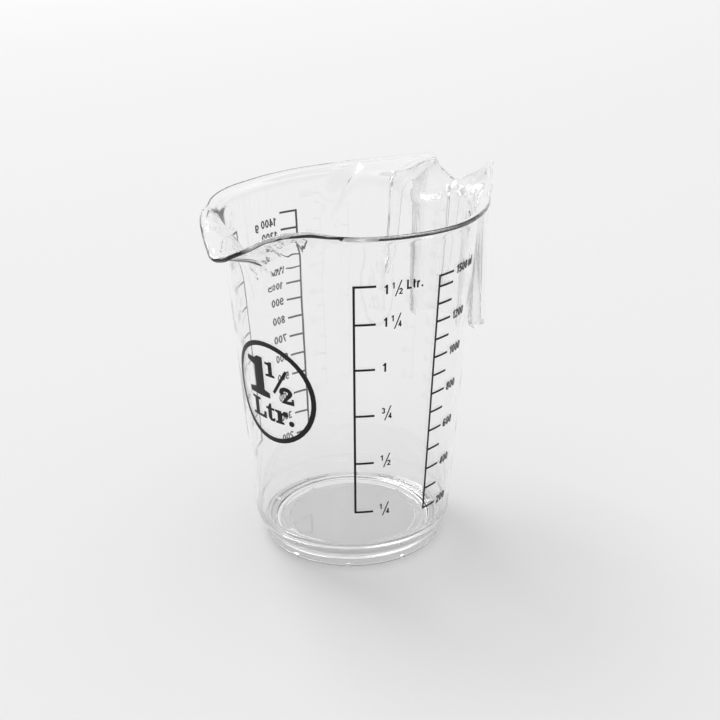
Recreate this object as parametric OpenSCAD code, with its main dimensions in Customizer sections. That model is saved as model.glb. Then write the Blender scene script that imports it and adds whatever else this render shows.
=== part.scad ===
// Clear measuring jug for 1.5 litres: a conical vessel with a broad pouring spout, a hooked grip that is
// open underneath, and printed scales. The axis of the vessel is Z, the handle points along +X.

/* [Vessel] */
// Height of the rim above the table
rim_h = 183.6; // [150:0.1:230]
// Outer radius of the wall at the height where the cone starts
wall_low_r = 52.7; // [42:0.1:65]
// Outer radius of the wall at the height of the rim
wall_top_r = 64.6; // [55:0.1:80]
// Height where the cone of the wall starts
cone_z = 15; // [12:0.5:20]
// Thickness of the wall
wall_t = 2; // [1.2:0.1:2.6]
// Height up to which the wall is a plain cone on every side
plain_wall_h = 128; // [110:1:140]

/* [Foot and floor] */
// Outer radius of the standing ring
foot_r = 47.6; // [38:0.1:52]
// Width of the standing ring
foot_w = 4; // [3:0.1:6]
// Height of the standing ring
foot_h = 4.5; // [3.5:0.1:6]
// Number of notches in the outer edge of the standing ring
notch_count = 10; // [4:1:16]
// Width of a notch
notch_w = 2.6; // [1.6:0.1:8]
// Height of a notch
notch_h = 1.6; // [0.6:0.1:2.4]
// Depth of a notch, from the ring's outer side
notch_depth = 2.2; // [1:0.1:2.6]
// Radius of the flat part of the floor
floor_r = 36; // [28:0.5:40]
// Height of the floor's upper face
floor_top_z = 5.5; // [5:0.1:8]
// Thickness of the floor
floor_t = 2.5; // [1.5:0.1:3.5]
// Height where the round inner corner meets the straight wall
corner_z = 19; // [17:0.5:26]

/* [Rim and spout] */
// Width by which the rim stands out from the wall on the round sides
rim_out = 5.1; // [3.8:0.1:9]
// Height of the flared lip, from the wall's edge to the top of the rim
lip_h = 6; // [4.5:0.1:8]
// Distance of the spout's tip from the axis
spout_reach = 94; // [85:0.5:115]
// Depth of the spout's tip below the rim
spout_dip = 7.5; // [0:0.1:12]
// Rise of the rim on both sides of the spout
spout_rise = 2.8; // [0:0.1:5]

/* [Handle] */
// Distance of the handle's outer face from the axis
handle_reach = 104; // [92:0.5:120]
// Width of the handle over both webs
handle_w = 41; // [34:0.5:46]
// Thickness of the handle's webs and of its strap
handle_t = 3; // [2:0.1:4]
// Outer corner radius of the handle, seen from above
handle_corner_r = 9; // [7:0.5:14]
// Height of the handle's lower end above the table
handle_low_z = 92; // [70:1:105]
// Height where the lower edge of a web meets the wall
web_root_z = 125; // [108:1:127]
// Depth below the rim of the arch over a web's gap
web_drop = 9.5; // [8:0.1:14]
// Depth of the saddle between the two horns of the handle
saddle_dip = 11.5; // [6:0.1:13]
// Rise of the two horns above the rim
horn_rise = 3.4; // [0:0.1:5]
// Thickness of the deck that closes the handle at the top
deck_t = 2.2; // [1.5:0.1:3]
// Height of the deck where it meets the wall, below the rim
deck_drop = 7.6; // [5:0.1:10]

/* [Print] */
// Thickness of the printed film
ink_t = 0.15; // [0.1:0.05:0.3]
// Width of the printed lines
line_w = 1.1; // [0.6:0.1:1.6]
// Height of the numerals on the scale in litres
litre_text_h = 4.6; // [3.5:0.1:6]
// Height of the numerals on the other scales
gram_text_h = 4.5; // [3:0.1:5]
// Width of the strokes of the numerals, as a share of their height
text_stroke_share = 0.2; // [0.12:0.01:0.24]
// Length of the ticks, in degrees around the wall
tick_deg = 10; // [6:0.5:12]
// Gap between a tick and its numeral on the scale in litres, in degrees around the wall
litre_gap_deg = 3.4; // [1:0.1:4]
// Gap between a tick and its numeral on the other scales, in degrees around the wall
text_gap_deg = 2.3; // [1:0.1:4]
// Height to which 1500 ml fill the vessel
full_z = 160.2; // [150:0.1:168]
// Height of the highest mark on the scales for liquids
top_mark_z = 157; // [150:0.5:162]
// Outer radius of the badge's ring
badge_r = 27.1; // [18:0.1:30]
// Width of the badge's ring
badge_line_w = 2.5; // [1.5:0.1:4]
// Height of the badge's centre above the table
badge_z = 96.8; // [80:0.5:110]
// Height of the badge's large numeral
badge_text_h = 21.2; // [12:0.2:23]
// Direction of the badge, in degrees from the handle
badge_az = 175.8; // [170:0.1:190]
// Direction of the scale in litres, in degrees from the handle
litre_az = -140.1; // [-145:0.1:-130]
// Direction of the scale in millilitres, in degrees from the handle
ml_az = -99.6; // [-105:0.1:-90]
// Direction of the sugar scale, in degrees from the handle
sugar_az = 66.4; // [50:0.1:75]
// Direction of the flour scale, in degrees from the handle
flour_az = 109.8; // [100:0.1:120]

/* [View] */
// Node that is drawn

/* [Hidden] */
$fn = 96;
clear = [0.86, 0.89, 0.91, 0.45];
ink = [0.06, 0.06, 0.07];
// Hair gap between a faceted piece and its neighbour, and the overrun of cuts
seam = wall_t / 40;
over = wall_t;
// Outer radius of the rim on the round sides
bead_r = wall_top_r + rim_out;

// The wall's cone
wall_slope = (wall_top_r - wall_low_r) / (rim_h - cone_z);
function wall_r(z) = wall_low_r + wall_slope * (z - cone_z);
// Height to which a volume in ml fills the vessel, from the volume of a cone
full_ml = 1500;
function inner_r(z) = wall_r(z) - wall_t;
function fill_z(ml) = let(
    low = pow(inner_r(floor_top_z), 3), r = pow(low + (pow(inner_r(full_z), 3) - low) * ml / full_ml, 1 / 3)
) floor_top_z + (r - inner_r(floor_top_z)) / wall_slope;

// Shares of the spout's reach, its rise and its dip, by degrees from the spout's axis
spout_reach_shares = [
    [0, 1], [2.5, 0.965], [5, 0.88], [10, 0.724], [15, 0.58], [20, 0.432], [25, 0.296], [30, 0.189],
    [35, 0.111], [40, 0.055], [45, 0.016], [50, 0],
];
spout_rise_shares = [[8, 0], [15, 0.6], [20, 1], [25, 1], [30, 0.82], [35, 0.54], [45, 0.18], [60, 0]];
spout_dip_shares = [[0, 1], [2.5, 0.93], [5, 0.68], [10, 0.22], [14, 0]];
// Shares of the handle's reach and of the horns' rise, by degrees from the handle's axis
handle_reach_shares = [
    [0, 0.98], [5, 0.99], [8, 1], [10, 1.01], [12, 0.95], [15, 0.76], [20, 0.585], [25, 0.425],
    [30, 0.3], [35, 0.205], [40, 0.13], [45, 0.065], [50, 0.02], [54, 0],
];
horn_rise_shares = [[0, 1], [15, 1], [20, 0.9], [30, 0.79], [40, 0.67], [50, 0.6], [60, 0.42], [75, 0]];
spout_end_deg = 50;
deck_end_deg = 52;

// Circle of the saddle between the horns, seen along X
horn_y = 0.9 * handle_w / 2;
saddle_r = (horn_y * horn_y + saddle_dip * saddle_dip) / (2 * saddle_dip);
saddle_low_z = rim_h - saddle_dip;
function saddle_z(y) = saddle_low_z + saddle_r - sqrt(max(0, saddle_r * saddle_r - y * y));

// The rim's outer edge and top, by degrees from the handle's axis
function from_spout(a) = 180 - abs(a);
function rim_r(a) = bead_r
    + (spout_reach - bead_r) * lookup(from_spout(a), spout_reach_shares)
    + (handle_reach - bead_r) * lookup(abs(a), handle_reach_shares);
function rim_side_z(a) = rim_h
    + spout_rise * lookup(from_spout(a), spout_rise_shares)
    - spout_dip * lookup(from_spout(a), spout_dip_shares)
    + horn_rise * lookup(abs(a), horn_rise_shares);
function rim_z(a) = let(y = rim_r(a) * sin(a), side_z = rim_side_z(a))
    abs(a) < deck_end_deg / 2 && abs(y) < saddle_r ? min(side_z, saddle_z(y)) : side_z;
function rim_point(a) = rim_r(a) * [cos(a), sin(a)];
function outward(a) = let(d = rim_point(a + 0.5) - rim_point(a - 0.5)) [d[1], -d[0]] / norm(d);

// Section of the rim: [outward, upward] from the outer edge's top, where it stands on the wall's edge,
// as shares of the lip's height
lip_out = bead_r - wall_r(rim_h - lip_h);
wall_share = wall_t / lip_h;
root_share = lip_out / lip_h;
wall_rim_shares = [
    [-root_share, -1], [-0.8, -0.8], [-0.62, -0.62], [-0.42, -0.56], [-0.3, -0.68], [-0.1, -0.62],
    [0, -0.42], [0, -0.18], [-0.1, -0.05], [-0.3, 0], [-0.5, -0.05], [-0.8, -0.26], [-1.05, -0.52],
    [-root_share - wall_share, -1],
];
deck_share = deck_t / lip_h;
deck_rim_shares = [
    [-0.55, -0.3 - deck_share], [-0.53, -0.3 - deck_share], [-0.5, -0.64], [-0.42, -0.68],
    [-0.3, -0.7], [-0.1, -0.62],
    [0, -0.42], [0, -0.18], [-0.1, -0.05], [-0.22, 0], [-0.35, -0.03], [-0.45, -0.12], [-0.53, -0.22],
    [-0.55, -0.3],
];
function deck_part(a) = max(0, min(1, (deck_end_deg + 1 - abs(a)) / 2));
function rim_section(a) = let(w = deck_part(a))
    [for (i = [0:len(wall_rim_shares) - 1])
        let(
            s = lip_h * (wall_rim_shares[i] * (1 - w) + deck_rim_shares[i] * w),
            n = outward(a), p = rim_point(a)
        ) [p[0] + n[0] * s[0], p[1] + n[1] * s[0], rim_z(a) + s[1]]];
rim_steps = concat(
    [for (a = [0:2:24]) a], [for (a = [28:4:56]) a], [for (a = [62:7:125]) a],
    [for (a = [130:4:158]) a], [for (a = [161:2.5:178.5]) a]
);
rim_angles = concat(rim_steps, [180], [for (i = [len(rim_steps) - 1:-1:1]) -rim_steps[i]]);

// Closed sweep through rings of points with the same count
module sweep_loop(rings) {
    n = len(rings);
    m = len(rings[0]);
    polyhedron(
        points = [for (r = rings) for (p = r) p],
        faces = [for (i = [0:n - 1]) for (j = [0:m - 1])
            let(
                j2 = (j + 1) % m, i2 = (i + 1) % n,
                a = i * m + j, b = i * m + j2, c = i2 * m + j2, d = i2 * m + j
            ) for (t = [[a, c, b], [a, d, c]]) t]
    );
}

// Open sweep through rings of points, closed by a flat face at each end
module sweep_open(rings) {
    n = len(rings);
    m = len(rings[0]);
    polyhedron(
        points = [for (r = rings) for (p = r) p],
        faces = concat(
            [for (i = [0:n - 2]) for (j = [0:m - 1])
                let(
                    j2 = (j + 1) % m, i2 = i + 1,
                    a = i * m + j, b = i * m + j2, c = i2 * m + j2, d = i2 * m + j
                ) for (t = [[a, c, b], [a, d, c]]) t],
            [for (j = [1:m - 2]) [0, j, j + 1]],
            [for (j = [1:m - 2]) [(n - 1) * m, (n - 1) * m + j + 1, (n - 1) * m + j]]
        )
    );
}

// Ring that stands on the table, with notches in the lower edge of its outer side
module foot_ring() {
    color(clear)
    difference() {
        rotate_extrude() translate([foot_r - foot_w, 0]) square([foot_w, foot_h]);
        for (i = [0:notch_count - 1])
            rotate([0, 0, i * 360 / notch_count])
                translate([foot_r - notch_depth, -notch_w / 2, -over])
                    cube([notch_depth + over, notch_w, notch_h + over]);
    }
}

// Flat middle of the floor
module floor_disc() {
    color(clear)
    translate([0, 0, floor_top_z - floor_t])
        cylinder(r = floor_r, h = floor_t);
}

// Round corner between the floor and the wall
outer_corner_shares = [[0, 0], [0.04, 0.045], [0.29, 0.27], [0.59, 0.5], [0.9, 0.75], [1, 1]];
module floor_corner() {
    corner_w = wall_r(corner_z) - wall_t - floor_r;
    corner_h = corner_z - floor_top_z;
    outer_line = [for (s = outer_corner_shares)
        [foot_r + (wall_low_r - foot_r) * s[0], foot_h + (cone_z - foot_h) * s[1]]];
    inner_line = [for (i = [12:-1:0])
        let(t = 90 * i / 12) [floor_r + corner_w * sin(t), floor_top_z + corner_h * (1 - cos(t))]];
    foot_inner_r = foot_r - foot_w;
    under_z = floor_top_z - floor_t;
    color(clear)
    rotate_extrude() polygon(concat(
        [[floor_r, under_z], [foot_inner_r, under_z], [foot_inner_r, foot_h]],
        outer_line, [[wall_r(corner_z), corner_z]], inner_line
    ));
}

// Band of the conical wall between two heights, over an angle from a start direction
module wall_band(z0, z1, start, angle) {
    rotate([0, 0, start])
        rotate_extrude(angle = angle)
            polygon([
                [wall_r(z0) - wall_t, z0], [wall_r(z0), z0], [wall_r(z1), z1], [wall_r(z1) - wall_t, z1],
            ]);
}

module vessel_wall() {
    color(clear) wall_band(corner_z, plain_wall_h, 0, 360);
}

// Wall between the spout and the handle, on both sides
module upper_wall() {
    span = 180 - spout_end_deg - deck_end_deg;
    color(clear)
    for (start = [deck_end_deg, -deck_end_deg - span])
        wall_band(plain_wall_h, rim_h - lip_h, start, span);
}

// Wall behind the handle, up to the deck
module handle_side_wall() {
    color(clear) wall_band(plain_wall_h, rim_h - deck_drop - deck_t, -deck_end_deg, 2 * deck_end_deg);
}

// Funnel of the spout, from the plain cone out to the lip
module pouring_spout() {
    levels = 8;
    columns = concat([-spout_end_deg], [for (a = [-46:4:-18]) a], [for (a = [-15:2.5:15]) a],
        [for (a = [18:4:46]) a], [spout_end_deg]);
    root = len(wall_rim_shares) - 1;
    low_z = plain_wall_h + seam;
    function funnel(a, k, side) = let(
        p = rim_section(a > 0 ? 180 - a : -180 - a)[side],
        t = k / levels, z = low_z + (p[2] - seam - low_z) * t,
        r0 = wall_r(z) - (side == root ? wall_t : 0),
        r_top = wall_r(p[2]) - (side == root ? wall_t : 0),
        bulge = pow(t, 2.2) * (norm([p[0], p[1]]) - r_top)
    ) [(r0 + bulge) * -cos(a), (r0 + bulge) * sin(a), z];
    color(clear)
    sweep_open([for (i = [len(columns) - 1:-1:0]) concat(
        [for (k = [0:levels]) funnel(columns[i], k, 0)],
        [for (k = [levels:-1:0]) funnel(columns[i], k, root)]
    )]);
}

// Flared lip with its rolled edge, all round the mouth and the top of the handle
module rim_bead() {
    color(clear) sweep_loop([for (a = rim_angles) rim_section(a)]);
}

// Height of the deck's upper face at a direction and a share of the way from the wall to the rim
deck_steps = 6;
function deck_inner_r(a) = wall_r(rim_h - deck_drop) - wall_t;
function deck_point(a, s) = let(
    q = rim_section(a)[len(wall_rim_shares) - 1], n = outward(a),
    edge = [q[0], q[1]] - n * seam, start = deck_inner_r(a) * [cos(a), sin(a)],
    e = s * s * (3 - 2 * s)
) [
    start[0] + (edge[0] - start[0]) * s, start[1] + (edge[1] - start[1]) * s,
    rim_h - deck_drop + (q[2] - rim_h + deck_drop) * e,
];

// Deck that closes the handle at the top and rises to the rim on both sides
module handle_deck() {
    columns = concat([-deck_end_deg], [for (a = [-48:4:-28]) a], [for (a = [-25:2.5:25]) a],
        [for (a = [28:4:48]) a], [deck_end_deg]);
    color(clear)
    sweep_open([for (a = columns) concat(
        [for (i = [0:deck_steps]) deck_point(a, i / deck_steps)],
        [for (i = [deck_steps:-1:0]) deck_point(a, i / deck_steps) - [0, 0, deck_t]]
    )]);
}

// Height of the deck's underside at a point of the handle's plan
function deck_low_z(x, y) = let(a = atan2(y, x), r = norm([x, y]), r0 = deck_inner_r(a),
    edge = deck_point(a, 1), s = max(0, min(1, (r - r0) / (norm([edge[0], edge[1]]) - r0))))
    deck_point(a, s)[2] - deck_t;

// One side of the grip: a rib down the wall, an arch over the fingers' gap, and the flange of the strap.
// The first list gives shares of the way out and of the height up to the arch, the second the flange's foot.
web_edge_shares = [
    [0, 0], [0.115, 0.1], [0.218, 0.26], [0.27, 0.45], [0.31, 0.63], [0.346, 0.81], [0.375, 0.91],
    [0.423, 0.97], [0.5, 1], [0.58, 0.98], [0.64, 0.93], [0.672, 0.85],
];
web_foot_shares = [[0.672, 0.83], [0.682, 0.56], [0.711, 0.29], [0.764, 0.1], [0.83, 0], [1, 0]];
module handle_web(side) {
    web_out = handle_reach - handle_corner_r;
    wall_x = sqrt(pow(wall_r(web_root_z), 2) - pow(handle_w / 2, 2));
    top_steps = 8;
    top_line = [for (i = [0:top_steps])
        let(x = web_out - (web_out - wall_x) * i / top_steps)
        [x, min([for (k = [0:2]) deck_low_z(x, handle_w / 2 - handle_t * k / 2)]) - seam]];
    low_line = concat(
        [for (s = web_edge_shares)
            [wall_x + (web_out - wall_x) * s[0], web_root_z + (rim_h - web_drop - web_root_z) * s[1]]],
        [for (s = web_foot_shares)
            [wall_x + (web_out - wall_x) * s[0], handle_low_z + handle_corner_r * s[1]]]
    );
    color(clear)
    difference() {
        translate([0, side * (handle_w / 2 - handle_t / 2) + handle_t / 2, 0])
            rotate([90, 0, 0])
                linear_extrude(handle_t)
                    polygon(concat(
                        [[wall_low_r, web_root_z]], low_line,
                        top_line, [[wall_low_r, top_line[top_steps][1]]]
                    ));
        cylinder(r1 = wall_r(0) + seam, r2 = wall_r(2 * rim_h) + seam, h = 2 * rim_h);
    }
}

module handle_web_left() {
    handle_web(1);
}

module handle_web_right() {
    handle_web(-1);
}

// Outer wall of the handle, which hangs from the deck with its two sides bent in
module handle_strap() {
    inner_corner_r = handle_corner_r - handle_t;
    strap_top_z = saddle_low_z - 0.7 * lip_h;
    web_out = handle_reach - handle_corner_r;
    corner_y = handle_w / 2 - handle_corner_r;
    color(clear)
    difference() {
        translate([0, 0, handle_low_z]) linear_extrude(rim_h - handle_low_z) {
            for (side = [-1, 1])
                intersection() {
                    translate([web_out, side * corner_y]) difference() {
                        circle(r = handle_corner_r);
                        circle(r = inner_corner_r);
                    }
                    translate([web_out, side < 0 ? -handle_w / 2 : corner_y])
                        square([handle_corner_r, handle_corner_r]);
                }
            translate([handle_reach - handle_t, -corner_y]) square([handle_t, 2 * corner_y]);
        }
        translate([0, 0, strap_top_z + saddle_r - seam])
            rotate([0, 90, 0]) cylinder(r = saddle_r, h = 2 * handle_reach);
        translate([0, -handle_w, strap_top_z + saddle_r]) cube([2 * handle_reach, 2 * handle_w, rim_h]);
    }
}

// Print on the wall: a flat layout, x across from a direction and y up, is laid round the cone as a film
module printed(az) {
    low_z = cone_z;
    top_z = rim_h - lip_h;
    color(ink)
    intersection() {
        rotate([0, 0, az])
            translate([wall_low_r / 2, 0, 0])
                rotate([90, 0, 90]) linear_extrude(wall_top_r) children();
        rotate([0, 0, az - 45])
            rotate_extrude(angle = 90)
                polygon([
                    [wall_r(low_z), low_z], [wall_r(low_z) + ink_t, low_z],
                    [wall_r(top_z) + ink_t, top_z], [wall_r(top_z), top_z],
                ]);
    }
}
function across(deg, z) = wall_r(z) * sin(deg);

// Comb of a scale: an upright line at the left with a tick at each mark
module scale_comb(marks) {
    z0 = min(marks) - line_w / 2;
    z1 = max(marks) + line_w / 2;
    x0 = across(-tick_deg, z0);
    x1 = across(-tick_deg, z1);
    polygon([[x0, z0], [x0 + line_w, z0], [x1 + line_w, z1], [x1, z1]]);
    for (z = marks)
        translate([across(-tick_deg, z) + line_w / 2, z - line_w / 2])
            square([-across(-tick_deg, z) - line_w / 2, line_w]);
}

// Outline of a stroke of even width along a line of points
function side_of(p, i) = let(
    d0 = i > 0 ? p[i] - p[i - 1] : p[1] - p[0],
    d1 = i < len(p) - 1 ? p[i + 1] - p[i] : p[i] - p[i - 1],
    n = d0 / norm(d0) + d1 / norm(d1), u = n / norm(n), c = max(0.6, u * d1 / norm(d1))
) [-u[1], u[0]] / c;
module stroke(p, w) {
    last = len(p) - 1;
    polygon(concat(
        [for (i = [0:last]) p[i] + side_of(p, i) * w / 2],
        [for (i = [last:-1:0]) p[i] - side_of(p, i) * w / 2]
    ));
}
function arc(c, r, a0, a1, n = 8) = [for (i = [0:n])
    let(a = a0 + (a1 - a0) * i / n) c + [r[0] * cos(a), r[1] * sin(a)]];
module loop(c, r, w) {
    difference() {
        polygon(arc(c, r + [w, w] / 2, 0, 340, 17));
        polygon(arc(c, r - [w, w] / 2, 0, 340, 17));
    }
}

// Numerals and unit letters as shares of the height of a numeral: w is the width of a stroke, k half of
// it, and x1 the middle of a stroke at the right side
function digit_share(c) = c == "1" ? 0.5 : c == "m" ? 1 : c == "l" ? 0.34 : c == "r" ? 0.48
    : c == "t" ? 0.46 : c == "L" ? 0.64 : c == "." ? 0.3 : c == " " ? 0.34 : 0.68;
module glyph(c) {
    w = text_stroke_share;
    k = w / 2;
    x1 = 0.6 - k;
    cx = (k + x1) / 2;
    rx = (x1 - k) / 2;
    top = 1 - k;
    if (c == "0") loop([cx, 0.5], [rx, 0.5 - k], w);
    if (c == "1") polygon([
        [0.2, 0], [0.2, 0.7], [0.02, 0.7], [0.02, 0.82], [0.14, 0.86], [0.23, 1],
        [0.2 + w, 1], [0.2 + w, 0],
    ]);
    if (c == "2") stroke(concat(arc([cx, 1 - k - rx], [rx, rx], 170, -35), [[k, k], [x1 + k, k]]), w);
    if (c == "3") {
        stroke(arc([cx, 0.75 - k / 3], [rx * 0.95, 0.25 - k * 2 / 3], 160, -90), w);
        stroke(arc([cx, 0.25 + k / 3], [rx, 0.25 - k / 3], 90, -160), w);
    }
    if (c == "4") {
        stroke([[x1 - k, 0], [x1 - k, 1]], w);
        stroke([[x1 - k, 1 - k], [k, 0.28], [x1 + k, 0.28]], w * 0.9);
    }
    if (c == "5") {
        stroke([[x1 + k / 2, 1 - k], [k * 1.8, 1 - k], [k * 1.3, 0.42]], w);
        stroke(arc([cx, 0.33], [rx, 0.33 - k], 140, -150), w);
    }
    if (c == "6") {
        loop([cx, 0.31], [rx, 0.31 - k], w);
        stroke(concat([[k * 0.9, 0.31]], arc([cx, 0.62], [rx + k * 0.1, 0.38 - k], 180, 25)), w);
    }
    if (c == "7") stroke([[0, 1 - k], [x1, 1 - k], [cx - k, 0]], w);
    if (c == "8") {
        loop([cx, 0.74], [rx * 0.9, 0.26 - k], w);
        loop([cx, 0.29], [rx, 0.29 - k], w);
    }
    if (c == "9") {
        loop([cx, 0.69], [rx, 0.31 - k], w);
        stroke(concat([[x1 + k * 0.1, 0.69]], arc([cx, 0.38], [rx + k * 0.1, 0.38 - k], 0, -155)), w);
    }
    if (c == "L") stroke([[k, 1], [k, k], [0.52, k]], w);
    if (c == "l") stroke([[k, 0], [k, 1]], w);
    if (c == "t") {
        stroke(concat([[0.17, 0.95]], arc([0.17 + rx * 0.6, 0.22], [rx * 0.6, 0.22 - k], 180, 270, 4)), w);
        stroke([[0.02, 0.66], [0.38, 0.66]], w * 0.8);
    }
    if (c == "r") {
        stroke([[k, 0], [k, 0.72]], w);
        stroke(arc([k + 0.2, 0.44], [0.2, 0.2], 180, 80, 4), w);
    }
    if (c == "m")
        for (x = [0, 1]) {
            stroke([[k, 0], [k, 0.72]], w);
            stroke(concat(
                arc([k + 0.17 + x * 0.34, 0.44], [0.17, 0.2], 180, 0), [[k + 0.34 + x * 0.34, 0]]
            ), w);
        }
    if (c == "g") {
        loop([cx, 0.36], [rx, 0.36 - k], w);
        stroke(concat([[x1 + k * 0.1, 0.7]], arc([cx, 0], [rx + k * 0.1, 0.2], 0, -150)), w);
    }
    if (c == ".") translate([k / 2, 0]) square(w);
}

// Distance from a word's start to its glyph i, as a share of the height
function advance(word, i) = i == 0 ? 0 : advance(word, i - 1) + digit_share(word[i - 1]);

// Word with its left side at x, centred on a height
module word_at(word, h, x, z) {
    for (i = [0:len(word) - 1])
        if (word[i] != " ")
            translate([x + advance(word, i) * h, z - h / 2]) scale(h) glyph(word[i]);
}

// Fraction with its slanted bar, both numbers smaller than the numeral beside them
fraction_share = 0.66;
bar_shares = [[0, -0.84], [0.13, -0.84], [0.78, 0.84], [0.65, 0.84]];
bar_x_share = 0.3;
under_x_share = 0.74;
module fraction_at(over_word, under_word, h, x, z) {
    small = h * fraction_share;
    word_at(over_word, small, x, z + h - small);
    translate([x + bar_x_share * h, z]) scale(h) polygon(bar_shares);
    word_at(under_word, small, x + under_x_share * h, z - h + small);
}

// Scale in litres
function litre_mark_z(q) = q < 6 ? fill_z(q * 250) : top_mark_z;
litre_words = [["", "1", "4"], ["", "1", "2"], ["", "3", "4"], ["1"], ["1", "1", "4"], ["1", "1", "2"]];
module litre_scale_lines() {
    printed(litre_az + tick_deg) scale_comb([for (q = [1:6]) litre_mark_z(q)]);
}

module litre_scale_numerals() {
    h = litre_text_h;
    whole_w = 0.82 * h;
    printed(litre_az + tick_deg) {
        for (q = [1:6]) {
            words = litre_words[q - 1];
            // The highest label stands a little below its tick, the others a little above
            z = litre_mark_z(q) + (q < 6 ? 0.15 : -0.4) * h;
            x = across(litre_gap_deg, z);
            if (words[0] != "") word_at(words[0], h, x, z);
            if (len(words) > 1) fraction_at(words[1], words[2], h, words[0] != "" ? x + whole_w : x, z);
        }
        word_at("Ltr.", h, across(litre_gap_deg, top_mark_z) + 2.4 * h, top_mark_z - 0.15 * h);
    }
}

// Column of numbers beside a scale, the last one with its unit, each at a height of its own
module scale_numbers(values, heights, unit) {
    last = len(values) - 1;
    for (i = [0:last]) {
        word = str(values[i], i == last ? unit : "");
        word_at(word, gram_text_h, across(text_gap_deg, heights[i]), heights[i]);
    }
}

// Scale in millilitres
function ml_mark_z(v) = v < full_ml ? fill_z(v) : top_mark_z;
module ml_scale_lines() {
    printed(ml_az + tick_deg) scale_comb([for (v = [200:100:1500]) ml_mark_z(v)]);
}

ml_words = concat([for (v = [200:200:1200]) v], [full_ml]);
module ml_scale_numerals() {
    printed(ml_az + tick_deg) scale_numbers(ml_words, [for (v = ml_words) ml_mark_z(v)], " ml");
}

// Sugar scale: ml for each gram, with an allowance for the heap
sugar_ml = 1.077;
sugar_heap_ml = 17;
sugar_values = [for (g = [200:100:1400]) g];
sugar_marks = [for (g = sugar_values) fill_z(g * sugar_ml + sugar_heap_ml)];
module sugar_scale_lines() {
    printed(sugar_az + tick_deg) scale_comb(sugar_marks);
}

// The highest sugar numerals stand lower than their ticks, by these shares of their height
sugar_drop_shares = [[1100, 0], [1200, 0.2], [1300, 0.55], [1400, 0.95]];
module sugar_scale_numerals() {
    heights = [for (i = [0:len(sugar_values) - 1])
        sugar_marks[i] - gram_text_h * lookup(sugar_values[i], sugar_drop_shares)];
    printed(sugar_az + tick_deg) scale_numbers(sugar_values, heights, " g");
}

// Flour scale: ml for each gram
flour_ml = 1.5;
flour_values = [for (g = [200:100:1000]) g];
flour_marks = [for (g = flour_values) fill_z(g * flour_ml)];
module flour_scale_lines() {
    printed(flour_az + tick_deg) scale_comb(flour_marks);
}

module flour_scale_numerals() {
    printed(flour_az + tick_deg) scale_numbers(flour_values, flour_marks, " g");
}

// Badge: a ring laid round the wall, with the capacity in it
function wrapped_ring(r) = let(wr = wall_r(badge_z))
    [for (t = [0:7.5:352.5]) [wr * sin(r * cos(t) / wr * 180 / PI), badge_z + r * sin(t)]];
module badge_ring() {
    printed(badge_az)
        difference() {
            polygon(wrapped_ring(badge_r));
            polygon(wrapped_ring(badge_r - badge_line_w));
        }
}

// Slab-serif shapes of the badge, as shares of their height
slab_one_shares = [
    [0, 0], [0.74, 0], [0.74, 0.13], [0.57, 0.18], [0.57, 1], [0.38, 1], [0.28, 0.93], [0, 0.92],
    [0, 0.8], [0.26, 0.74], [0.26, 0.18], [0, 0.13],
];
slab_l_shares = [
    [0, 0], [1, 0], [1, 0.36], [0.86, 0.36], [0.8, 0.13], [0.46, 0.13], [0.46, 0.88], [0.62, 0.88],
    [0.62, 1], [0, 1], [0, 0.88], [0.18, 0.88], [0.18, 0.13], [0, 0.13],
];
slab_t_shares = [
    [0.12, 0.14], [0.26, 0], [0.5, 0], [0.58, 0.16], [0.5, 0.2], [0.4, 0.12], [0.36, 0.16], [0.36, 0.58],
    [0.54, 0.58], [0.54, 0.7], [0.36, 0.7], [0.36, 0.92], [0.26, 0.92], [0.12, 0.7], [0, 0.7], [0, 0.58],
    [0.12, 0.58],
];
slab_r_shares = [
    [0, 0], [0.52, 0], [0.52, 0.1], [0.4, 0.14], [0.4, 0.4], [0.5, 0.52], [0.56, 0.44], [0.74, 0.44],
    [0.8, 0.56], [0.74, 0.7], [0.56, 0.72], [0.4, 0.58], [0.38, 0.7], [0, 0.7], [0, 0.6], [0.14, 0.56],
    [0.14, 0.14], [0, 0.1],
];
module badge_numerals() {
    h = badge_text_h;
    // Left side and foot of each shape from the badge's centre, as shares of the large numeral's height
    printed(badge_az) translate([0, badge_z]) {
        translate(h * [-0.72, -0.15]) scale(h) polygon(slab_one_shares);
        translate(h * [-0.06, 0.42]) scale(0.38 * h) polygon(slab_one_shares);
        translate(h * [0.13, 0.06]) rotate(-33) square(h * [0.075, 0.74]);
        translate(h * [0.32, -0.17]) scale(0.43 * h) badge_two();
        translate(h * [-0.66, -0.73]) scale(0.49 * h) polygon(slab_l_shares);
        translate(h * [-0.15, -0.73]) scale(0.49 * h) polygon(slab_t_shares);
        translate(h * [0.14, -0.73]) scale(0.49 * h) polygon(slab_r_shares);
        translate(h * [0.6, -0.66]) circle(r = 0.07 * h, $fn = 24);
    }
}

// Heavy numeral two of the badge
module badge_two() {
    w = 0.24;
    stroke(concat(arc([0.44, 0.68], [0.29, 0.2], 185, -30), [[0.3, w / 2], [0.92, w / 2]]), w);
    translate([0.79, w / 2]) square([0.12, 0.38 - w / 2]);
    translate([0.17, 0.66]) circle(r = w * 0.6, $fn = 24);
}

foot_ring();
floor_disc();
floor_corner();
vessel_wall();
upper_wall();
handle_side_wall();
pouring_spout();
rim_bead();
handle_deck();
handle_web_left();
handle_web_right();
handle_strap();
litre_scale_lines();
litre_scale_numerals();
ml_scale_lines();
ml_scale_numerals();
sugar_scale_lines();
sugar_scale_numerals();
flour_scale_lines();
flour_scale_numerals();
badge_ring();
badge_numerals();
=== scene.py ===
import math

import bmesh
import bpy
from mathutils import Matrix, Vector


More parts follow.
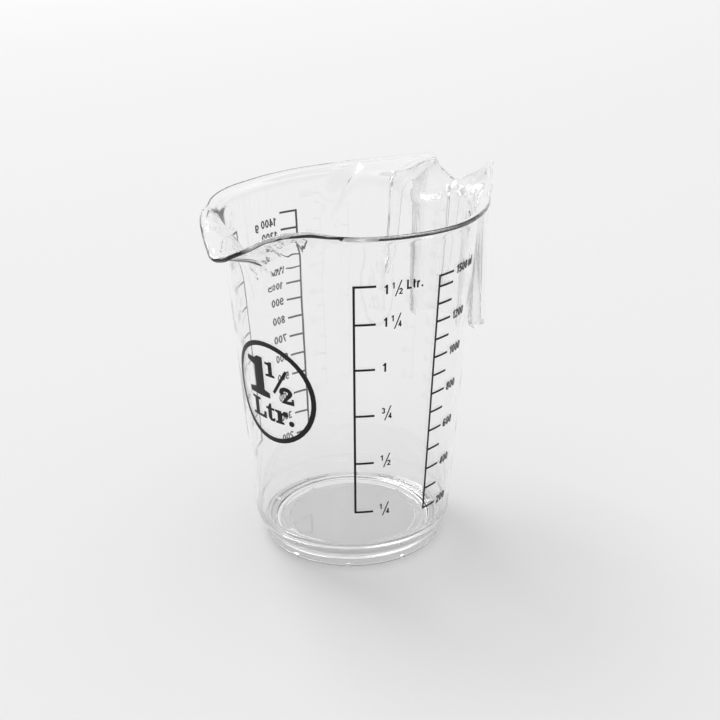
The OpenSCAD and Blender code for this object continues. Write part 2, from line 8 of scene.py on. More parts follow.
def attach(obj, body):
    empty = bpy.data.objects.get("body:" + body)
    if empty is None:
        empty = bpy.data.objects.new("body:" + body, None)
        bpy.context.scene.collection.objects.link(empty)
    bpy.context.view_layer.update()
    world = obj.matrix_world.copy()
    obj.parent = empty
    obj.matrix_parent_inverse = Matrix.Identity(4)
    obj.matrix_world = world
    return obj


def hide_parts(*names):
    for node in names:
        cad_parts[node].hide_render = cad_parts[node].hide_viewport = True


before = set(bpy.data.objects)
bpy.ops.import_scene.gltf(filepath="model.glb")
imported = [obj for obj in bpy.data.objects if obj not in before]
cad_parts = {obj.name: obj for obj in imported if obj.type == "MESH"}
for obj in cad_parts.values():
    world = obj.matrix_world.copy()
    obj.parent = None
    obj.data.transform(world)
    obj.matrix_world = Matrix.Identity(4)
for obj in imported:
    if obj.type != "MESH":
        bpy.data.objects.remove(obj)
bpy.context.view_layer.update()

MM = 0.001


# The camera stands where the photographer stood: somewhat above the jug and half a metre from it, looking
# down into the mouth over the printed litre scale, with a short telephoto lens.
CAMERA_PLACE = Vector((-423.8, -343.2, 318.9)) * MM
CAMERA_HEADING = math.radians(51.5)  # clockwise from +Y, seen from above
CAMERA_PITCH = math.radians(22.23)  # downwards
CAMERA_ROLL = math.radians(-0.46)
CAMERA_LENS = 56.25  # mm
SENSOR_WIDTH = 36  # mm

camera_data = bpy.data.cameras.new("photo_camera")
camera_data.lens = CAMERA_LENS
camera_data.sensor_width = SENSOR_WIDTH
camera_data.clip_start = 0.01
camera = bpy.data.objects.new("photo_camera", camera_data)
bpy.context.scene.collection.objects.link(camera)
aim = Matrix.Rotation(-CAMERA_HEADING, 4, "Z") @ Matrix.Rotation(math.radians(90) - CAMERA_PITCH, 4, "X")
camera.matrix_world = Matrix.Translation(CAMERA_PLACE) @ aim @ Matrix.Rotation(CAMERA_ROLL, 4, "Z")
bpy.context.scene.camera = camera
bpy.context.scene.view_settings.view_transform = "Standard"
# Light crosses many faces of clear plastic and turns inside its thin edges before it gets out again
CROSSINGS = 48
REFLECTIONS = 32
cycles = bpy.context.scene.cycles
cycles.max_bounces = CROSSINGS
cycles.transmission_bounces = CROSSINGS
cycles.glossy_bounces = REFLECTIONS
cycles.transparent_max_bounces = REFLECTIONS


# The clear body is one injection moulding in SAN plastic: foot, floor, conical wall, spout, flared lip and
# a saddle-shaped deck, from which the grip hangs. It leaves the mould polished, so it is as clear as glass.
RIM_HEIGHT = 183.6
WALL_LOW_RADIUS = 52.7
WALL_TOP_RADIUS = 64.6
CONE_START = 15.0
WALL = 2.0
PLAIN_WALL_TOP = 128.0
FOOT_RADIUS = 47.6
FOOT_WIDTH = 4.0
FOOT_HEIGHT = 4.5
FLOOR_RADIUS = 31.5
FLOOR_TOP = 5.5
FLOOR_THICKNESS = 2.5
CORNER_TOP = 19.0
LIP_RADIUS = 69.7
LIP_HEIGHT = 6.0
SPOUT_REACH = 94.0
SPOUT_DIP = 7.5
SPOUT_RISE = 3.6
HANDLE_REACH = 104.0
HANDLE_WIDTH = 41.0
SADDLE_DIP = 11.5
HORN_RISE = 4.3
DECK_THICKNESS = 2.2
DECK_DROP = 1.0
DECK_END = 54.0  # degrees from the handle's axis
EDGE_SINK = 1.5  # from the reference height of the rim down to the upper side of its thin edge
INK_SEAT = 0.05  # the wall stays this far inside the printed films, so the two never share a surface

# Outlines as (degrees, share) pairs: degrees from the spout's or the handle's axis, shares of its reach,
# rise or dip
SPOUT_REACH_SHARES = [
    (0, 1), (2.5, 0.965), (5, 0.88), (10, 0.724), (15, 0.58), (20, 0.432), (25, 0.296), (30, 0.189),
    (35, 0.111), (40, 0.055), (45, 0.016), (50, 0),
]
SPOUT_RISE_SHARES = [(8, 0), (15, 0.6), (20, 1), (25, 1), (30, 0.74), (35, 0.4), (45, 0.02), (60, 0)]
SPOUT_DIP_SHARES = [(0, 1), (2.5, 0.93), (5, 0.68), (10, 0.22), (14, 0)]
HANDLE_REACH_SHARES = [
    (0, 0.98), (5, 0.99), (8, 1), (10, 1.01), (12, 0.95), (15, 0.76), (20, 0.585), (25, 0.425),
    (30, 0.3), (35, 0.205), (40, 0.13), (45, 0.065), (50, 0.02), (54, 0),
]
HORN_RISE_SHARES = [
    (0, 1), (15, 1), (20, 0.95), (30, 0.87), (40, 0.78), (50, 0.68), (60, 0.52), (75, 0.24), (95, 0),
]


def share_at(x, pairs):
    """Share at x on a smooth curve through the pairs, level beyond both ends."""
    if x <= pairs[0][0]:
        return pairs[0][1]
    if x >= pairs[-1][0]:
        return pairs[-1][1]
    i = max(k for k in range(len(pairs) - 1) if pairs[k][0] <= x)

    def slope(k):
        if k in (0, len(pairs) - 1):
            return 0.0
        before = (pairs[k][1] - pairs[k - 1][1]) / (pairs[k][0] - pairs[k - 1][0])
        after = (pairs[k + 1][1] - pairs[k][1]) / (pairs[k + 1][0] - pairs[k][0])
        return 0.0 if before * after <= 0 else 2 * before * after / (before + after)

    (x0, y0), (x1, y1) = pairs[i], pairs[i + 1]
    width = x1 - x0
    t = (x - x0) / width
    return (
        y0 * (1 + 2 * t) * (1 - t) ** 2
        + y1 * t * t * (3 - 2 * t)
        + slope(i) * width * t * (1 - t) ** 2
        - slope(i + 1) * width * t * t * (1 - t)
    )


def wall_radius(z):
    """Outer radius of the cone."""
    growth = WALL_TOP_RADIUS - WALL_LOW_RADIUS
    return WALL_LOW_RADIUS + growth * (z - CONE_START) / (RIM_HEIGHT - CONE_START)


def saddle_height(y):
    """Height of the saddle's hollow, which lets the rim down between the two horns."""
    horn = 0.9 * HANDLE_WIDTH / 2
    hollow = 2.4  # exponent: a nearly flat bottom between steep sides
    return RIM_HEIGHT - SADDLE_DIP + EDGE_SINK + SADDLE_DIP * (abs(y) / horn) ** hollow


def lower_of(a, b, soft=3.0):
    """The lower of two heights, rounded off over soft mm where they cross."""
    gap = a - b
    if gap >= soft:
        return b
    return a if gap <= -soft else a - (gap + soft) ** 2 / (4 * soft)


def rim_edge(degrees):
    """Outer edge and top of the rim at an angle from the handle's axis."""
    off = abs(degrees)
    radius = (
        LIP_RADIUS
        + (SPOUT_REACH - LIP_RADIUS) * share_at(180 - off, SPOUT_REACH_SHARES)
        + (HANDLE_REACH - LIP_RADIUS) * share_at(off, HANDLE_REACH_SHARES)
    )
    z = (
        RIM_HEIGHT
        + SPOUT_RISE * share_at(180 - off, SPOUT_RISE_SHARES)
        - SPOUT_DIP * share_at(180 - off, SPOUT_DIP_SHARES)
        + HORN_RISE * share_at(off, HORN_RISE_SHARES)
    )
    x = radius * math.cos(math.radians(degrees))
    y = radius * math.sin(math.radians(degrees))
    if off < DECK_END / 2:
        z = lower_of(z, saddle_height(y))
    return Vector((x, y, z))


def rim_outward(degrees):
    """Level direction that points away from the jug, square to the rim."""
    step = rim_edge(degrees + 0.5) - rim_edge(degrees - 0.5)
    return Vector((step.y, -step.x, 0)).normalized()


SPOUT_START = 128  # degrees from the handle's axis
SPOUT_BLEND = 26  # degrees
DECK_BLEND = 22  # degrees


def eased(t):
    """Goes smoothly from 0 to 1 while t does, and stays there."""
    t = max(0.0, min(1.0, t))
    return t * t * (3 - 2 * t)


def spout_part(degrees):
    """1 where the lip is the edge of the spout's trough, 0 where it stands on the round wall."""
    return eased((abs(degrees) - SPOUT_START) / SPOUT_BLEND)


def deck_part(degrees):
    """0 where the lip stands on the wall, 1 where it borders the deck."""
    return eased((DECK_END - abs(degrees)) / DECK_BLEND)


# Section of the thin flared lip, (outward, upward) in lip heights from the outer edge at the rim's top: on
# the wall it ends lower down, beside the deck and in the spout's trough it ends flat
ROOT_DEPTH = 1.35
DECK_DEPTH = 0.29
LIP_ROOT = (LIP_RADIUS - wall_radius(RIM_HEIGHT - ROOT_DEPTH * LIP_HEIGHT)) / LIP_HEIGHT
WALL_SHARE = WALL / LIP_HEIGHT
DECK_SHARE = DECK_THICKNESS / LIP_HEIGHT
WALL_LIP_SHARES = [
    (-LIP_ROOT, -ROOT_DEPTH), (-0.92, -1.14), (-0.82, -0.97), (-0.62, -0.84), (-0.36, -0.73), (-0.15, -0.65),
    (-0.03, -0.57), (0, -0.45), (-0.03, -0.33), (-0.13, -0.26), (-0.36, -0.35), (-0.66, -0.48),
    (-0.95, -0.67), (-1.14, -0.89), (-1.24, -1.13), (-LIP_ROOT - WALL_SHARE, -ROOT_DEPTH),
]
DECK_LIP_SHARES = [
    (-0.55, -DECK_DEPTH - DECK_SHARE), (-0.5, -0.28 - DECK_SHARE), (-0.42, -0.65), (-0.34, -0.645),
    (-0.26, -0.64), (-0.16, -0.62), (-0.06, -0.56), (0, -0.45), (-0.03, -0.33), (-0.12, -0.25),
    (-0.22, -0.24), (-0.31, -0.25), (-0.39, -0.26), (-0.45, -0.27), (-0.5, -0.28), (-0.55, -DECK_DEPTH),
]


def through(points, steps):
    """The points with a smooth curve of steps pieces between each two."""
    line = []
    for i in range(len(points) - 1):
        before, start = points[max(i - 1, 0)], points[i]
        end, after = points[i + 1], points[min(i + 2, len(points) - 1)]
        for k in range(steps):
            t = k / steps
            line.append(
                0.5 * (2 * start + (end - before) * t
                       + (2 * before - 5 * start + 4 * end - after) * t * t
                       + (3 * start - before - 3 * end + after) * t * t * t)
            )
    return line + [points[-1]]


def lip_section(degrees, steps=2):
    """The lip's section at an angle, from its root outside, over the edge, to its root inside."""
    part = max(deck_part(degrees), spout_part(degrees))
    edge, out = rim_edge(degrees), rim_outward(degrees)
    shares = [
        Vector(on_wall) * (1 - part) + Vector(by_deck) * part
        for on_wall, by_deck in zip(WALL_LIP_SHARES, DECK_LIP_SHARES)
    ]
    return [edge + LIP_HEIGHT * (out * s.x + Vector((0, 0, s.y))) for s in through(shares, steps)]


def deck_start(degrees):
    """Where the inside of the wall would meet the deck if their corner weren't round."""
    radius, turn = wall_radius(RIM_HEIGHT - DECK_DROP) - WALL, math.radians(degrees)
    x, y = radius * math.cos(turn), radius * math.sin(turn)
    return Vector((x, y, lower_of(RIM_HEIGHT - DECK_DROP, saddle_height(y) - EDGE_SINK)))


def deck_point(degrees, share):
    """Point of the deck's upper face, from the inside of the wall (0) to the lip (1)."""
    start, end = deck_start(degrees), lip_section(degrees)[-1]
    low = RIM_HEIGHT - DECK_DROP
    high = RIM_HEIGHT + HORN_RISE * share_at(abs(degrees), HORN_RISE_SHARES) - DECK_DEPTH * LIP_HEIGHT
    point = start.lerp(end, share)
    ease = share * share * (3 - 2 * share)  # level at both ends
    point.z = lower_of(low + (high - low) * ease, saddle_height(point.y) - EDGE_SINK)
    point.z += ease * (end.z - lower_of(high, saddle_height(end.y) - EDGE_SINK))
    return point


WALL_ROWS = 9
DECK_ROWS = 11
CORNER_ROWS = 5
CORNER_ROUND = 4.5  # length that the round corner between wall and deck takes from each
WALL_CHORD = 5  # length of wall below the corner that gives its direction
DECK_PIECES = 40  # straight pieces in which the deck's line is measured
BELL = 8.0  # the higher, the closer to the lip the wall starts to flare


def upper_path(degrees, inside):
    """Line from the plain cone up to the lip: the funnel or wall, or the wall and then the deck."""
    turn = math.radians(degrees)
    way = Vector((math.cos(turn), math.sin(turn), 0))
    lip_root = lip_section(degrees)[-1 if inside else 0]
    inset = WALL if inside else INK_SEAT
    rows = WALL_ROWS + CORNER_ROWS + DECK_ROWS

    def on_wall(z):
        return way * (wall_radius(z) - inset) + Vector((0, 0, z))

    plain = []
    swing = Vector((lip_root.x, lip_root.y, 0)).length - (wall_radius(lip_root.z) - inset)
    for k in range(rows):
        t = (k + 1) / (rows + 1)
        z = PLAIN_WALL_TOP + (lip_root.z - PLAIN_WALL_TOP) * t
        point = on_wall(z) + way * swing * t ** BELL
        plain.append(point)
    part = deck_part(degrees)
    if part == 0:
        return plain

    thick = Vector((0, 0, 0 if inside else DECK_THICKNESS))
    corner = deck_start(degrees) - thick
    if not inside:
        corner = on_wall(corner.z)
    share = (corner - deck_start(degrees)).xy.length / (lip_root - deck_start(degrees)).xy.length
    deck_line = [
        deck_point(degrees, share + (1 - share) * k / DECK_PIECES) - thick for k in range(DECK_PIECES + 1)
    ]
    deck_line[0] = corner
    down = (on_wall(corner.z - WALL_CHORD) - corner).normalized()
    gone, far = 0.0, 0
    while far < DECK_PIECES and gone < CORNER_ROUND:
        gone += (deck_line[far + 1] - deck_line[far]).length
        far += 1
    start, end = corner + down * CORNER_ROUND, deck_line[far]
    bend = []
    for k in range(CORNER_ROWS):
        t = k / (CORNER_ROWS - 1)
        bend.append(start * (1 - t) ** 2 + corner * 2 * t * (1 - t) + end * t * t)
    climb = [
        on_wall(PLAIN_WALL_TOP + (start.z - PLAIN_WALL_TOP) * (k + 1) / (WALL_ROWS + 1))
        for k in range(WALL_ROWS)
    ]
    run = []
    for k in range(DECK_ROWS):
        at = far + (DECK_PIECES - far) * (k + 1) / (DECK_ROWS + 1)
        i = min(DECK_PIECES - 1, int(at))
        run.append(deck_line[i].lerp(deck_line[i + 1], at - i))
    decked = climb + bend + run
    return [a.lerp(b, part) for a, b in zip(plain, decked)]


FLOOR_RING_BY_CORNER = 30
FLOOR_RINGS = [24, 12, 2]  # radii of the rings of points in the flat floor; a flat face closes the last
FOOT_EDGE = 0.7  # rounding of the standing ring's two edges
OUTER_CORNER_SHARES = [
    (0.02, -0.02), (0.1, 0.13), (0.29, 0.27), (0.44, 0.385), (0.59, 0.5), (0.75, 0.62), (0.88, 0.745),
    (0.965, 0.87),
]
# Underside of the floor, (inwards from the standing ring, up from the middle): two low steps, then the root
# of the ring
UNDERSIDE_STEPS = [
    (-9.3, 0), (-8.6, 0.8), (-4.6, 0.85), (-4.1, 1.3), (-0.9, 1.5), (-0.2, 1.1), (0, 0.3),
]


def foot_and_corner():
    """(radius, height) from the middle of the floor's underside, round the foot, to the start of the cone."""
    inner, under, edge = FOOT_RADIUS - FOOT_WIDTH, FLOOR_TOP - FLOOR_THICKNESS, FOOT_EDGE
    thirds = (math.radians(30), math.radians(60))
    line = [(radius, under) for radius in reversed(FLOOR_RINGS)] + [(FLOOR_RADIUS, under)]
    line += [(inner + out, under + up) for out, up in UNDERSIDE_STEPS]
    line.append((inner, edge))
    line += [(inner + edge * (1 - math.cos(t)), edge * (1 - math.sin(t))) for t in thirds]
    line += [(inner + edge, 0), (FOOT_RADIUS - edge, 0)]
    line += [(FOOT_RADIUS - edge * (1 - math.sin(t)), edge * (1 - math.cos(t))) for t in thirds]
    line += [(FOOT_RADIUS, edge), (FOOT_RADIUS, FOOT_HEIGHT - 0.9)]
    wide, high = WALL_LOW_RADIUS - FOOT_RADIUS, CONE_START - FOOT_HEIGHT
    line += [(FOOT_RADIUS + wide * out, FOOT_HEIGHT + high * up) for out, up in OUTER_CORNER_SHARES]
    return line


CORNER_STEPS = 12


def floor_inside():
    """(radius, height) from the wall's inside down the round corner to the middle of the floor."""
    wide, high = wall_radius(CORNER_TOP) - WALL - FLOOR_RADIUS, CORNER_TOP - FLOOR_TOP
    line = []
    for k in range(CORNER_STEPS + 1):
        turn = math.radians(90 * (1 - k / CORNER_STEPS))
        line.append((FLOOR_RADIUS + wide * math.sin(turn), FLOOR_TOP + high * (1 - math.cos(turn))))
    return line + [(radius, FLOOR_TOP) for radius in [FLOOR_RING_BY_CORNER] + FLOOR_RINGS]


COLUMNS = 256
CROWDING = 0.3  # columns stand closer at the spout and at the handle
CONE_ROWS = 8
columns = []
for k in range(COLUMNS):
    turn = 2 * math.pi * k / COLUMNS
    degrees = (math.degrees(turn - CROWDING * math.sin(2 * turn)) + 180) % 360 - 180
    turn = math.radians(degrees)
    way = Vector((math.cos(turn), math.sin(turn), 0))
    low = foot_and_corner()
    cone = [CONE_START + (PLAIN_WALL_TOP - CONE_START) * row / CONE_ROWS for row in range(CONE_ROWS + 1)]
    low += [(wall_radius(z) - INK_SEAT, z) for z in cone]
    line = [way * r + Vector((0, 0, z)) for r, z in low]
    line += upper_path(degrees, False)
    line += lip_section(degrees)
    line += reversed(upper_path(degrees, True))
    high = [(wall_radius(z) - WALL, z) for z in reversed(cone[1:])] + floor_inside()
    line += [way * r + Vector((0, 0, z)) for r, z in high]
    columns.append([point * MM for point in line])

bpy.ops.object.select_all(action="DESELECT")
bpy.ops.mesh.primitive_circle_add(vertices=COLUMNS, radius=0.01, fill_type="NGON")
body = bpy.context.object
body.name = "jug_body"
bpy.ops.object.mode_set(mode="EDIT")
mesh = bmesh.from_edit_mesh(body.data)
column_of = mesh.verts.layers.int.new("column")
for vertex in mesh.verts:
    turn = math.atan2(vertex.co.y, vertex.co.x) % (2 * math.pi)
    vertex[column_of] = round(turn * COLUMNS / (2 * math.pi)) % COLUMNS
    vertex.co = columns[vertex[column_of]][0]
bmesh.update_edit_mesh(body.data)
for row in range(1, len(columns[0])):
    bpy.ops.mesh.extrude_region_move()
    mesh = bmesh.from_edit_mesh(body.data)
    column_of = mesh.verts.layers.int["column"]
    for vertex in mesh.verts:
        if vertex.select:
            vertex.co = columns[vertex[column_of]][row]
    bmesh.update_edit_mesh(body.data)
bpy.ops.mesh.select_all(action="SELECT")
bpy.ops.mesh.normals_make_consistent(inside=False)
bpy.ops.object.mode_set(mode="OBJECT")


# The grip hooks over from the deck. Its two sides start as ribs on the wall, arch over the fingers' gap and
# run down as flanges of the strap, all moulded in one with the wall, the deck and the rim.
HANDLE_WALL = 2.2
HANDLE_CORNER = 9.0
HANDLE_LOW = 92.0
HANDLE_EDGE = 0.7  # rounding of the plates' edges
WEB_ROOT = 125.0
ARCH_DROP = 9.5
CORNER_DROP = 2.2  # how far the round corner by the wall hangs below the deck's underside
# Gap for the fingers: shares of the way out and of the height up to the arch, then of the flange's foot
WEB_EDGE_SHARES = [
    (0, 0), (0.115, 0.1), (0.218, 0.26), (0.27, 0.45), (0.31, 0.63), (0.346, 0.81), (0.375, 0.91),
    (0.423, 0.97), (0.5, 1), (0.58, 0.98), (0.64, 0.93), (0.672, 0.85),
]
WEB_FOOT_SHARES = [(0.672, 0.83), (0.682, 0.56), (0.711, 0.29), (0.764, 0.1), (0.83, 0), (1, 0)]


def deck_low(x, y):
    """Height of the deck's underside, a little lower by the wall, where its corner is round."""
    degrees = math.degrees(math.atan2(y, x))
    start, end = deck_start(degrees), lip_section(degrees)[-1]
    gap = Vector((x, y)).length - start.xy.length
    share = max(0.0, min(1.0, gap / (end.xy.length - start.xy.length)))
    lean = max(0.0, 1 - max(0.0, gap) / CORNER_ROUND)
    return deck_point(degrees, share).z - DECK_THICKNESS - CORNER_DROP * lean * lean


SIDE_Y = HANDLE_WIDTH / 2
SIDE_OUT = HANDLE_REACH - HANDLE_CORNER
ROOT_X = math.sqrt(wall_radius(WEB_ROOT) ** 2 - SIDE_Y ** 2)
LAP = 1.0  # how far a side plate runs into the strap's round corner
CURVE_STEPS = 3
TOP_STEPS = 16


def side_outline():
    """Outline (x, z) of a side plate: up the rib, over the arch, down the flange, and back under the deck."""
    reach = SIDE_OUT - ROOT_X
    arch = [
        Vector((ROOT_X + reach * out, WEB_ROOT + (RIM_HEIGHT - ARCH_DROP - WEB_ROOT) * up))
        for out, up in WEB_EDGE_SHARES
    ]
    foot = [Vector((ROOT_X + reach * out, HANDLE_LOW + HANDLE_CORNER * up)) for out, up in WEB_FOOT_SHARES]
    line = [Vector((ROOT_X - WALL / 2, WEB_ROOT))] + through(arch, CURVE_STEPS) + through(foot, CURVE_STEPS)
    line.append(Vector((SIDE_OUT + LAP, HANDLE_LOW)))
    root = math.sqrt((wall_radius(RIM_HEIGHT - LIP_HEIGHT) - WALL / 2) ** 2 - SIDE_Y ** 2)
    for k in range(TOP_STEPS + 1):
        x = SIDE_OUT + LAP + (root - SIDE_OUT - LAP) * k / TOP_STEPS
        tops = [deck_low(x, SIDE_Y - HANDLE_WALL * depth) for depth in (0, 0.5, 1)]
        line.append(Vector((x, min(tops) + DECK_THICKNESS / 2)))
    return line


def thicken(plate, side):
    """Gives a sheet the wall thickness inwards and rounds its edges."""
    wall = plate.modifiers.new("wall", "SOLIDIFY")
    wall.thickness = HANDLE_WALL * MM
    wall.offset = -1 if plate.data.polygons[0].normal.y * side > 0 else 1
    wall.use_even_offset = True
    bpy.ops.object.modifier_apply(modifier="wall")
    soft_edge = plate.modifiers.new("soft_edge", "BEVEL")
    soft_edge.width = HANDLE_EDGE * MM
    soft_edge.segments = 3
    soft_edge.limit_method = "ANGLE"
    soft_edge.angle_limit = math.radians(50)
    bpy.ops.object.modifier_apply(modifier="soft_edge")


outline = side_outline()
grip_parts = []
for side in (1, -1):
    bpy.ops.object.select_all(action="DESELECT")
    bpy.ops.mesh.primitive_circle_add(vertices=len(outline), radius=0.01, fill_type="NGON")
    plate = bpy.context.object
    plate.name = "grip_side"
    for vertex in plate.data.vertices:
        x, z = outline[vertex.index]
        vertex.co = Vector((x, side * SIDE_Y, z)) * MM
    plate.data.update()
    thicken(plate, side)
    grip_parts.append(plate)

BEND_STEPS = 8
STRAP_STEPS = 12
STRAP_LEVELS = 14
STATIONS = 2 * BEND_STEPS + STRAP_STEPS
EDGE_SHARE = 0.45  # the lip is widest this far down, in lip heights


def strap_point(i, level):
    """Point of the strap's outer face, station by station from one side round to the other."""
    side = -1
    if i > STATIONS // 2:
        i, side = STATIONS - i, 1
    straight = SIDE_Y - HANDLE_CORNER
    if i <= BEND_STEPS:
        turn = math.radians(90 * i / BEND_STEPS)
        x, y = SIDE_OUT + HANDLE_CORNER * math.sin(turn), straight + HANDLE_CORNER * math.cos(turn)
    else:
        x, y = HANDLE_REACH, straight * (1 - 2 * (i - BEND_STEPS) / STRAP_STEPS)
    inner = HANDLE_WALL * (y / SIDE_Y)
    under_deck = deck_low(x - HANDLE_WALL, y - inner) + DECK_THICKNESS / 2
    top = min(under_deck, saddle_height(y) - EDGE_SHARE * LIP_HEIGHT)
    return Vector((x, side * y, HANDLE_LOW + (top - HANDLE_LOW) * level)) * MM


bpy.ops.object.select_all(action="DESELECT")
bpy.ops.mesh.primitive_grid_add(x_subdivisions=STATIONS, y_subdivisions=STRAP_LEVELS, size=1)
strap = bpy.context.object
strap.name = "grip_strap"
for vertex in strap.data.vertices:
    vertex.co = strap_point(round((vertex.co.x + 0.5) * STATIONS), vertex.co.y + 0.5)
bpy.ops.object.mode_set(mode="EDIT")
bpy.ops.mesh.select_all(action="SELECT")
bpy.ops.mesh.normals_make_consistent(inside=False)
bpy.ops.object.mode_set(mode="OBJECT")
thicken(strap, -1 if strap.data.polygons[0].center.y < 0 else 1)
grip_parts.append(strap)

# Drain notches, cut across the underside of the standing ring: through them rinsing water leaves the hollow
# foot of a jug that stands upside down
NOTCHES = 10
NOTCH_WIDTH = 2.6
NOTCH_HEIGHT = 1.6
NOTCH_DEPTH = 2.2
bpy.ops.object.select_all(action="DESELECT")
bpy.ops.mesh.primitive_cube_add(size=1)
cutter = bpy.context.object
cutter.name = "notch_cutter"
notch = bmesh.new()
for k in range(NOTCHES):
    turn = Matrix.Rotation(2 * math.pi * k / NOTCHES, 4, "Z")
    size = Matrix.Diagonal((2 * NOTCH_DEPTH * MM, NOTCH_WIDTH * MM, 2 * NOTCH_HEIGHT * MM, 1))
    place = Matrix.Translation((FOOT_RADIUS * MM, 0, 0))
    bmesh.ops.create_cube(notch, size=1, matrix=turn @ place @ size)
notch.to_mesh(cutter.data)
notch.free()

bpy.ops.object.select_all(action="DESELECT")
bpy.context.view_layer.objects.active = body
body.select_set(True)
for tool, action in [(part, "UNION") for part in grip_parts] + [(cutter, "DIFFERENCE")]:
    join = body.modifiers.new(tool.name, "BOOLEAN")
    join.object = tool
    join.operation = action
    join.solver = "EXACT"
    bpy.ops.object.modifier_apply(modifier=join.name)
    bpy.data.objects.remove(tool)
CREASE_ANGLE = math.radians(35)
bpy.ops.object.shade_smooth_by_angle(angle=CREASE_ANGLE)


def pattern_scale(size):
    """Scale of a noise texture in Object coordinates whose patches are size mm across."""
    return 1 / (size * MM)


def linear(hex_colour):
    """sRGB hex as the linear colour that a shader takes."""
    parts = [int(hex_colour[i:i + 2], 16) / 255 for i in (1, 3, 5)]
    return [c / 12.92 if c <= 0.04045 else ((c + 0.055) / 1.055) ** 2.4 for c in parts] + [1]


def add(material, kind, links=(), **settings):
    """Adds a node to the material, with its settings and its inputs linked or set."""
    node = material.node_tree.nodes.new(kind)
    for name, value in settings.items():
        setattr(node, name, value)
    for name, value in dict(links).items():
        if isinstance(value, bpy.types.NodeSocket):
            material.node_tree.links.new(value, node.inputs[name])
        else:
            node.inputs[name].default_value = value
    return node


# Styrene-acrylonitrile, injection moulded in a polished mould: as clear as glass and without a tint, with
# sharp reflections. The flow of the melt left long, shallow waves that bend what is seen through the wall,
# and handling left faintly dull patches that soften a highlight here and there.
SAN_REFRACTION = 1.57
FLOW_WAVE = 22.2
HANDLED_PATCH = 6.25
clear = bpy.data.materials.new("clear_san_moulded")
clear.use_nodes = True
clear.node_tree.nodes.clear()
where = add(clear, "ShaderNodeTexCoord")
flow = add(clear, "ShaderNodeTexNoise", {
    "Vector": where.outputs["Object"], "Scale": pattern_scale(FLOW_WAVE), "Detail": 1.0,
})
handled = add(clear, "ShaderNodeTexNoise", {
    "Vector": where.outputs["Object"], "Scale": pattern_scale(HANDLED_PATCH), "Detail": 4.0,
})
haze = add(clear, "ShaderNodeMapRange", {
    "Value": handled.outputs["Fac"], "From Min": 0.4, "From Max": 0.75, "To Min": 0.0, "To Max": 0.035,
})
wave = add(clear, "ShaderNodeBump", {"Height": flow.outputs["Fac"], "Strength": 0.25, "Distance": 0.6 * MM})
plastic = add(clear, "ShaderNodeBsdfPrincipled", {
    "Base Color": linear("#FDFDFD"), "Roughness": haze.outputs["Result"], "IOR": SAN_REFRACTION,
    "Transmission Weight": 1.0, "Normal": wave.outputs["Normal"],
})
# Light on its way to the paper passes straight through and is dimmed most where it grazes a wall, which
# gives the soft grey shadow of a clear jug, darker along its outline
path = add(clear, "ShaderNodeLightPath")
lit = add(clear, "ShaderNodeMath", {
    0: path.outputs["Is Shadow Ray"], 1: path.outputs["Is Diffuse Ray"],
}, operation="MAXIMUM")
slant = add(clear, "ShaderNodeLayerWeight", {"Blend": 0.5})
dimmed = add(clear, "ShaderNodeMix", {
    "Factor": slant.outputs["Facing"], 6: linear("#FEFEFE"), 7: linear("#D6D6D6"),
}, data_type="RGBA")
passing = add(clear, "ShaderNodeBsdfTransparent", {"Color": dimmed.outputs[2]})
either = add(clear, "ShaderNodeMixShader", {
    0: lit.outputs["Value"], 1: plastic.outputs["BSDF"], 2: passing.outputs["BSDF"],
})
add(clear, "ShaderNodeOutputMaterial", {"Surface": either.outputs["Shader"]})
body.data.materials.clear()
body.data.materials.append(clear)
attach(body, "root")
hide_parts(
    "foot_ring", "floor_disc", "floor_corner", "vessel_wall", "upper_wall", "handle_side_wall",
    "pouring_spout", "rim_bead", "handle_deck", "handle_web_left", "handle_web_right", "handle_strap",
)


# The scales and the capacity badge are screen printed in black on the outside of the wall. The ink is
# satin, a little thinner in places, and has a fine grain from the screen's mesh, which keeps it from
# looking like a hole in the clear wall.
MESH_GRAIN = 0.4
THIN_PATCH = 8.33
ink = bpy.data.materials.new("black_screen_print_ink")
ink.use_nodes = True
ink.node_tree.nodes.clear()
where = add(ink, "ShaderNodeTexCoord")
screen = add(ink, "ShaderNodeTexNoise", {
    "Vector": where.outputs["Object"], "Scale": pattern_scale(MESH_GRAIN), "Detail": 2.0,
})
cover = add(ink, "ShaderNodeTexNoise", {
    "Vector": where.outputs["Object"], "Scale": pattern_scale(THIN_PATCH), "Detail": 3.0,
})
shade = add(ink, "ShaderNodeMix", {
    "Factor": cover.outputs["Fac"], 6: linear("#040405"), 7: linear("#0B0B0D"),
}, data_type="RGBA")
grain = add(ink, "ShaderNodeBump", {"Height": screen.outputs["Fac"], "Strength": 0.2, "Distance": 0.04 * MM})
gloss = add(ink, "ShaderNodeMapRange", {"Value": cover.outputs["Fac"], "To Min": 0.32, "To Max": 0.5})
film = add(ink, "ShaderNodeBsdfPrincipled", {
    "Base Color": shade.outputs[2], "Roughness": gloss.outputs["Result"], "IOR": 1.5,
    "Specular IOR Level": 0.3, "Normal": grain.outputs["Normal"],
})
add(ink, "ShaderNodeOutputMaterial", {"Surface": film.outputs["BSDF"]})
for name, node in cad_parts.items():
    if name.startswith(("litre_", "ml_", "sugar_", "flour_", "badge_")):
        node.data.materials.clear()
        node.data.materials.append(ink)


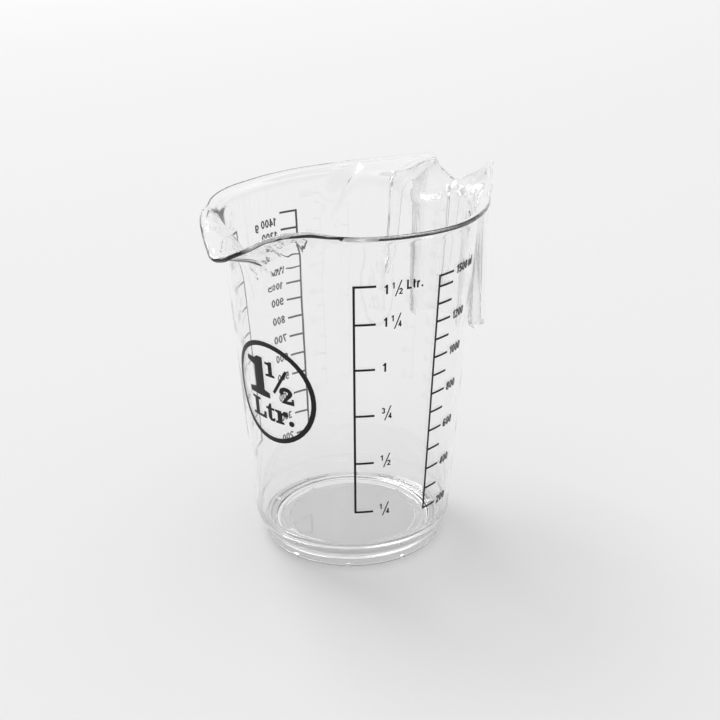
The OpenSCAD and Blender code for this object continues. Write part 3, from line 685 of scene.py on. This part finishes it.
# The jug stands on a wide, level sheet of pale paper. Its faint fibres keep the surface from being one flat
# colour, and it is matt, so it takes the jug's soft shadow and mirrors nothing.
SHEET_SIZE = 40.0  # metres, so that its far edge lies beyond the picture
FIBRE = 1.11
bpy.ops.object.select_all(action="DESELECT")
bpy.ops.mesh.primitive_grid_add(x_subdivisions=2, y_subdivisions=2, size=SHEET_SIZE)
floor = bpy.context.object
floor.name = "studio_floor"
paper = bpy.data.materials.new("white_paper_sweep")
paper.use_nodes = True
paper.node_tree.nodes.clear()
where = add(paper, "ShaderNodeTexCoord")
fibre = add(paper, "ShaderNodeTexNoise", {
    "Vector": where.outputs["Object"], "Scale": pattern_scale(FIBRE), "Detail": 2.0,
})
pulp = add(paper, "ShaderNodeMix", {
    "Factor": fibre.outputs["Fac"], 6: linear("#E6E6E6"), 7: linear("#E8E8E8"),
}, data_type="RGBA")
sheet = add(paper, "ShaderNodeBsdfPrincipled", {
    "Base Color": pulp.outputs[2], "Roughness": 0.9, "Specular IOR Level": 0.2,
})
add(paper, "ShaderNodeOutputMaterial", {"Surface": sheet.outputs["BSDF"]})
floor.data.materials.append(paper)

# Studio light: a pale room, brightest above and behind the jug and dimmer on the camera's side, which draws
# the dark lines in the clear edges, and one large soft lamp far behind, whose shadow falls to the front.
BRIGHT_SIDE = (0.31, 0.48, 0.82)
DIM, BRIGHT = 0.30, 0.95
world = bpy.data.worlds.new("studio_light")
bpy.context.scene.world = world
world.use_nodes = True
world.node_tree.nodes.clear()
toward = add(world, "ShaderNodeTexCoord")
lean = add(world, "ShaderNodeVectorMath", {
    0: toward.outputs["Generated"], 1: BRIGHT_SIDE,
}, operation="DOT_PRODUCT")
bright = add(world, "ShaderNodeMapRange", {
    "Value": lean.outputs["Value"], "From Min": -0.2, "From Max": 0.9, "To Min": DIM, "To Max": BRIGHT,
}, interpolation_type="SMOOTHSTEP")
sky = add(world, "ShaderNodeBackground", {"Color": linear("#FFFFFF"), "Strength": bright.outputs["Result"]})
add(world, "ShaderNodeOutputWorld", {"Surface": sky.outputs["Background"]})

LAMP_PLACE = Vector((2.6, 10.0, 12.3))  # metres, like the two values below
LAMP_SIZE = 7.0
LAMP_TARGET = Vector((0, 0, 0.09))
LAMP_WATTS = 1140.0
lamp_data = bpy.data.lights.new("softbox_back", "AREA")
lamp_data.shape = "SQUARE"
lamp_data.size = LAMP_SIZE
lamp_data.energy = LAMP_WATTS
lamp = bpy.data.objects.new("softbox_back", lamp_data)
bpy.context.scene.collection.objects.link(lamp)
turned = (LAMP_TARGET - LAMP_PLACE).to_track_quat("-Z", "Y").to_matrix().to_4x4()
lamp.matrix_world = Matrix.Translation(LAMP_PLACE) @ turned
